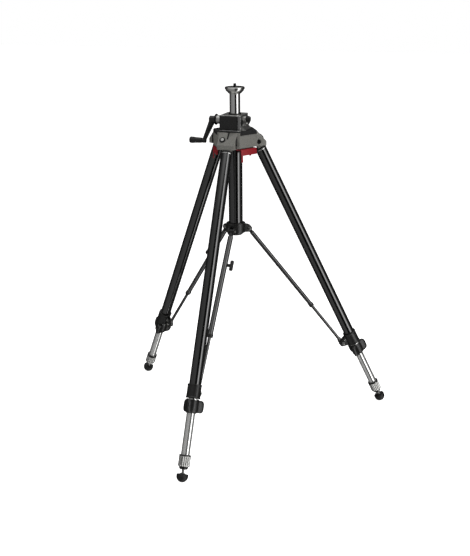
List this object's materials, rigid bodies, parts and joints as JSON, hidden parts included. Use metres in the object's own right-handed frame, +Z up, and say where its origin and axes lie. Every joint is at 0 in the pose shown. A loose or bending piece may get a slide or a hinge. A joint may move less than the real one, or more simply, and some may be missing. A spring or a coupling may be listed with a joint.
{
  "type": "camera tripod",
  "caption": "Three-leg film camera tripod with a geared centre column, side crank, mid-level spreader and telescopic legs on rubber feet.",
  "frame": {"origin": "on the ground, at the middle of the box around the object; the column axis stands 123.1 mm behind it", "axes": "+Z up along the centre column; the front leg points to -Y, and the crank is on the -X side"},
  "size_m": [0.887, 0.773, 1.0791],
  "materials": {
    "cast_grey": "matte grey painted aluminium casting",
    "cast_dark": "dark grey hammered paint on an aluminium casting",
    "cast_bright": "bare die-cast aluminium, satin",
    "black_tube": "gloss black anodised tube",
    "polished_tube": "bright polished aluminium",
    "steel": "plain turned steel",
    "black_plastic": "fine-grained moulded black plastic",
    "red_plastic": "moulded red plastic",
    "rubber": "matte black rubber"
  },
  "bodies": {
    "head": {"shoulder_casting": "cast_grey", "centre_sleeve": "black_tube", "spreader_hub": "cast_dark", "sleeve_end_cap": "black_plastic", "gearbox_housing": "cast_bright", "gearbox_cover": "black_plastic", "bearing_cap": "black_plastic", "front_hinge_pin": "steel", "right_hinge_pin": "steel", "left_hinge_pin": "steel"},
    "column": {"column_tube": "polished_tube", "column_rack": "steel", "head_plate": "polished_tube", "camera_stud": "steel"},
    "crank": {"crank_shaft": "black_plastic", "crank_arm": "cast_dark"},
    "grip": {"crank_grip": "black_plastic"},
    "column_lock": {"column_lock_knob": "black_plastic"},
    "front_leg": {"front_leg_fitting": "cast_grey", "front_upper_tube": "black_tube", "front_leg_clamp": "cast_dark", "front_arm_bolt": "steel"},
    "front_lock": {"front_lock_grip": "cast_dark"},
    "front_middle": {"front_middle_tube": "polished_tube"},
    "front_collar": {"front_twist_collar": "steel"},
    "front_lower": {"front_lower_tube": "polished_tube", "front_foot_spindle": "steel"},
    "front_foot": {"front_rubber_foot": "rubber"},
    "front_arm": {"front_arm_tube": "black_tube"},
    "front_rod": {"front_arm_rod": "steel"},
    "front_wing": {"front_wing_knob": "black_plastic"},
    "front_lever": {"front_release_lever": "red_plastic"},
    "right_leg": {"right_leg_fitting": "cast_grey", "right_upper_tube": "black_tube", "right_leg_clamp": "cast_dark", "right_arm_bolt": "steel"},
    "right_lock": {"right_lock_grip": "cast_dark"},
    "right_middle": {"right_middle_tube": "polished_tube"},
    "right_collar": {"right_twist_collar": "steel"},
    "right_lower": {"right_lower_tube": "polished_tube", "right_foot_spindle": "steel"},
    "right_foot": {"right_rubber_foot": "rubber"},
    "right_arm": {"right_arm_tube": "black_tube"},
    "right_rod": {"right_arm_rod": "steel"},
    "right_wing": {"right_wing_knob": "black_plastic"},
    "right_lever": {"right_release_lever": "red_plastic"},
    "left_leg": {"left_leg_fitting": "cast_grey", "left_upper_tube": "black_tube", "left_leg_clamp": "cast_dark", "left_arm_bolt": "steel"},
    "left_lock": {"left_lock_grip": "cast_dark"},
    "left_middle": {"left_middle_tube": "polished_tube"},
    "left_collar": {"left_twist_collar": "steel"},
    "left_lower": {"left_lower_tube": "polished_tube", "left_foot_spindle": "steel"},
    "left_foot": {"left_rubber_foot": "rubber"},
    "left_arm": {"left_arm_tube": "black_tube"},
    "left_rod": {"left_arm_rod": "steel"},
    "left_wing": {"left_wing_knob": "black_plastic"},
    "left_lever": {"left_release_lever": "red_plastic"}
  },
  "joints": [
    {"name": "column_rise", "type": "slide", "parent": "head", "child": "column", "axis": [0, 0, 1], "range_m": [-0.05, 0.24]},
    {"name": "crank_turn", "type": "hinge", "parent": "head", "child": "crank", "pos_m": [0, 0.14522, 0.966], "axis": [1, 0, 0], "range_deg": [-1834, 382.5]},
    {"name": "grip_spin", "type": "hinge", "parent": "crank", "child": "grip", "pos_m": [-0.12, 0.14522, 0.899], "axis": [1, 0, 0], "continuous": true},
    {"name": "column_lock_turn", "type": "hinge", "parent": "head", "child": "column_lock", "pos_m": [0.045, 0.12312, 0.974], "axis": [1, 0, 0], "range_deg": [-180, 0]},
    {"name": "front_leg_fold", "type": "hinge", "parent": "head", "child": "front_leg", "pos_m": [0, 0.05513, 0.905], "axis": [1, 0, 0], "range_deg": [-3, 21]},
    {"name": "front_lock_turn", "type": "hinge", "parent": "front_leg", "child": "front_lock", "pos_m": [0, -0.28308, 0.19792], "axis": [0, -0.4315, -0.9021], "range_deg": [0, 90]},
    {"name": "front_middle_slide", "type": "slide", "parent": "front_leg", "child": "front_middle", "axis": [0, -0.4315, -0.9021], "range_m": [-0.11, 0.45]},
    {"name": "front_collar_turn", "type": "hinge", "parent": "front_middle", "child": "front_collar", "pos_m": [0, -0.34996, 0.0581], "axis": [0, -0.4315, -0.9021], "range_deg": [0, 120]},
    {"name": "front_lower_slide", "type": "slide", "parent": "front_middle", "child": "front_lower", "axis": [0, -0.4315, -0.9021], "range_m": [0, 0.55]},
    {"name": "front_foot_turn", "type": "hinge", "parent": "front_lower", "child": "front_foot", "pos_m": [0, -0.36938, 0.0175], "axis": [0, -0.4315, -0.9021], "continuous": true},
    {"name": "front_arm_fold", "type": "hinge", "parent": "head", "child": "front_arm", "pos_m": [0, 0.08313, 0.63], "axis": [1, 0, 0], "range_deg": [-4.5, 31.1]},
    {"name": "front_rod_slide", "type": "slide", "parent": "front_arm", "child": "front_rod", "axis": [0, -0.6096, -0.7927], "range_m": [-0.0515, 0.0076]},
    {"name": "front_wing_turn", "type": "hinge", "parent": "front_arm", "child": "front_wing", "pos_m": [0, 0.01485, 0.54122], "axis": [1, 0, 0], "range_deg": [-180, 0]},
    {"name": "front_lever_press", "type": "hinge", "parent": "head", "child": "front_lever", "pos_m": [0.03291, 0.10412, 0.8875], "axis": [0.5, 0.866, 0], "range_deg": [0, 20], "stiffness_Nm_per_rad": 0.3, "springref_deg": -14.32},
    {"name": "right_leg_fold", "type": "hinge", "parent": "head", "child": "right_leg", "pos_m": [0.05889, 0.15712, 0.905], "axis": [-0.5, 0.866, 0], "range_deg": [-3, 21]},
    {"name": "right_lock_turn", "type": "hinge", "parent": "right_leg", "child": "right_lock", "pos_m": [0.35178, 0.32623, 0.19792], "axis": [0.3737, 0.2157, -0.9021], "range_deg": [0, 90]},
    {"name": "right_middle_slide", "type": "slide", "parent": "right_leg", "child": "right_middle", "axis": [0.3737, 0.2157, -0.9021], "range_m": [-0.11, 0.45]},
    {"name": "right_collar_turn", "type": "hinge", "parent": "right_middle", "child": "right_collar", "pos_m": [0.4097, 0.35967, 0.0581], "axis": [0.3737, 0.2157, -0.9021], "range_deg": [0, 120]},
    {"name": "right_lower_slide", "type": "slide", "parent": "right_middle", "child": "right_lower", "axis": [0.3737, 0.2157, -0.9021], "range_m": [0, 0.55]},
    {"name": "right_foot_turn", "type": "hinge", "parent": "right_lower", "child": "right_foot", "pos_m": [0.42652, 0.36938, 0.0175], "axis": [0.3737, 0.2157, -0.9021], "continuous": true},
    {"name": "right_arm_fold", "type": "hinge", "parent": "head", "child": "right_arm", "pos_m": [0.03464, 0.14313, 0.63], "axis": [-0.5, 0.866, 0], "range_deg": [-4.5, 31.1]},
    {"name": "right_rod_slide", "type": "slide", "parent": "right_arm", "child": "right_rod", "axis": [0.5279, 0.3048, -0.7927], "range_m": [-0.0515, 0.0076]},
    {"name": "right_wing_turn", "type": "hinge", "parent": "right_arm", "child": "right_wing", "pos_m": [0.09377, 0.17726, 0.54122], "axis": [-0.5, 0.866, 0], "range_deg": [-180, 0]},
    {"name": "right_lever_press", "type": "hinge", "parent": "head", "child": "right_lever", "pos_m": [0, 0.16112, 0.8875], "axis": [-1, 0, 0], "range_deg": [0, 20], "stiffness_Nm_per_rad": 0.3, "springref_deg": -14.32},
    {"name": "left_leg_fold", "type": "hinge", "parent": "head", "child": "left_leg", "pos_m": [-0.05889, 0.15712, 0.905], "axis": [-0.5, -0.866, 0], "range_deg": [-3, 21]},
    {"name": "left_lock_turn", "type": "hinge", "parent": "left_leg", "child": "left_lock", "pos_m": [-0.35178, 0.32623, 0.19792], "axis": [-0.3737, 0.2157, -0.9021], "range_deg": [0, 90]},
    {"name": "left_middle_slide", "type": "slide", "parent": "left_leg", "child": "left_middle", "axis": [-0.3737, 0.2157, -0.9021], "range_m": [-0.11, 0.45]},
    {"name": "left_collar_turn", "type": "hinge", "parent": "left_middle", "child": "left_collar", "pos_m": [-0.4097, 0.35967, 0.0581], "axis": [-0.3737, 0.2157, -0.9021], "range_deg": [0, 120]},
    {"name": "left_lower_slide", "type": "slide", "parent": "left_middle", "child": "left_lower", "axis": [-0.3737, 0.2157, -0.9021], "range_m": [0, 0.55]},
    {"name": "left_foot_turn", "type": "hinge", "parent": "left_lower", "child": "left_foot", "pos_m": [-0.42652, 0.36938, 0.0175], "axis": [-0.3737, 0.2157, -0.9021], "continuous": true},
    {"name": "left_arm_fold", "type": "hinge", "parent": "head", "child": "left_arm", "pos_m": [-0.03464, 0.14313, 0.63], "axis": [-0.5, -0.866, 0], "range_deg": [-4.5, 31.1]},
    {"name": "left_rod_slide", "type": "slide", "parent": "left_arm", "child": "left_rod", "axis": [-0.5279, 0.3048, -0.7927], "range_m": [-0.0515, 0.0076]},
    {"name": "left_wing_turn", "type": "hinge", "parent": "left_arm", "child": "left_wing", "pos_m": [-0.09377, 0.17726, 0.54122], "axis": [-0.5, -0.866, 0], "range_deg": [-180, 0]},
    {"name": "left_lever_press", "type": "hinge", "parent": "head", "child": "left_lever", "pos_m": [-0.03291, 0.10412, 0.8875], "axis": [0.5, -0.866, 0], "range_deg": [0, 20], "stiffness_Nm_per_rad": 0.3, "springref_deg": -14.32}
  ],
  "couplings": [
    {"joint": "crank_turn", "follows": "column_rise", "rad_per_m": -133.33},
    {"joint": "front_arm_fold", "follows": "front_leg_fold", "ratio": 1.4744},
    {"joint": "front_rod_slide", "follows": "front_leg_fold", "m_per_rad": -0.13966},
    {"joint": "right_arm_fold", "follows": "right_leg_fold", "ratio": 1.4744},
    {"joint": "right_rod_slide", "follows": "right_leg_fold", "m_per_rad": -0.13966},
    {"joint": "left_arm_fold", "follows": "left_leg_fold", "ratio": 1.4744},
    {"joint": "left_rod_slide", "follows": "left_leg_fold", "m_per_rad": -0.13966}
  ]
}
